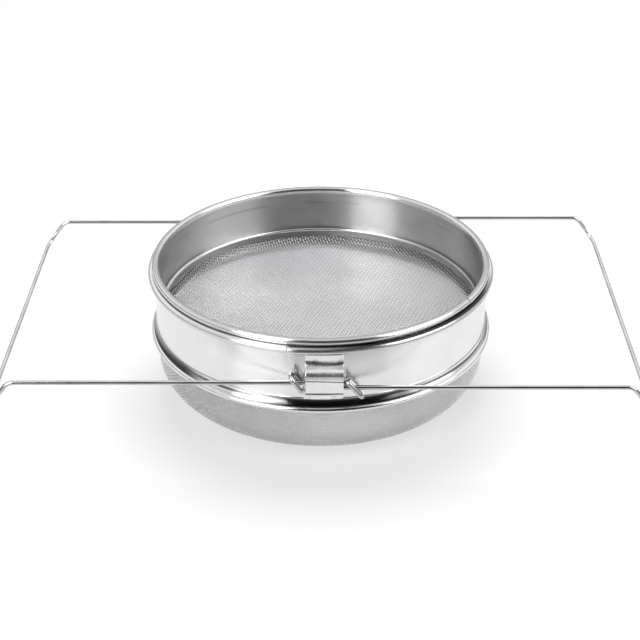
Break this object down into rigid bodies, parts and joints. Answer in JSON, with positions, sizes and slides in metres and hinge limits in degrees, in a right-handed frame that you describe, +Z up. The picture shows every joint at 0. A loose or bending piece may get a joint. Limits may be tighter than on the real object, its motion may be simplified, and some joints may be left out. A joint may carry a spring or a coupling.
{
  "type": "honey strainer",
  "caption": "Round honey strainer: a coarse sieve nested in a fine mesh bowl, carried by hooked wire arms that slide out to span a bucket.",
  "frame": {"origin": "middle of the flat bottom of the fine mesh bowl, which stands on Z = 0", "axes": "+X along the arms towards the right arm, +Y from the front bracket to the rear one, +Z up out of the sieves"},
  "size_m": [0.4326, 0.2536, 0.0958],
  "materials": {
    "lower_sheet": "polished stainless sheet",
    "lower_bead": "polished stainless bead",
    "fine_mesh": "fine woven stainless wire",
    "bracket_sheet": "polished stainless strap",
    "upper_sheet": "polished stainless sheet",
    "coarse_mesh": "coarse woven stainless wire",
    "upper_hoop": "polished stainless hoop",
    "arm_wire": "drawn stainless wire"
  },
  "bodies": {
    "lower_sieve": {"lower_band": "lower_sheet", "lower_clamp_ring": "lower_bead", "lower_mesh": "fine_mesh", "front_bracket": "bracket_sheet", "rear_bracket": "bracket_sheet"},
    "upper_sieve": {"upper_band": "upper_sheet", "upper_mesh": "coarse_mesh", "upper_clamp_ring": "upper_hoop"},
    "left_arm": {"left_arm": "arm_wire"},
    "right_arm": {"right_arm": "arm_wire"}
  },
  "joints": [
    {"name": "upper_sieve_lift", "type": "slide", "parent": "lower_sieve", "child": "upper_sieve", "axis": [0, 0, 1], "range_m": [0, 0.06]},
    {"name": "left_arm_slide", "type": "slide", "parent": "lower_sieve", "child": "left_arm", "axis": [1, 0, 0], "range_m": [0, 0.075]},
    {"name": "right_arm_slide", "type": "slide", "parent": "lower_sieve", "child": "right_arm", "axis": [-1, 0, 0], "range_m": [0, 0.075]}
  ]
}
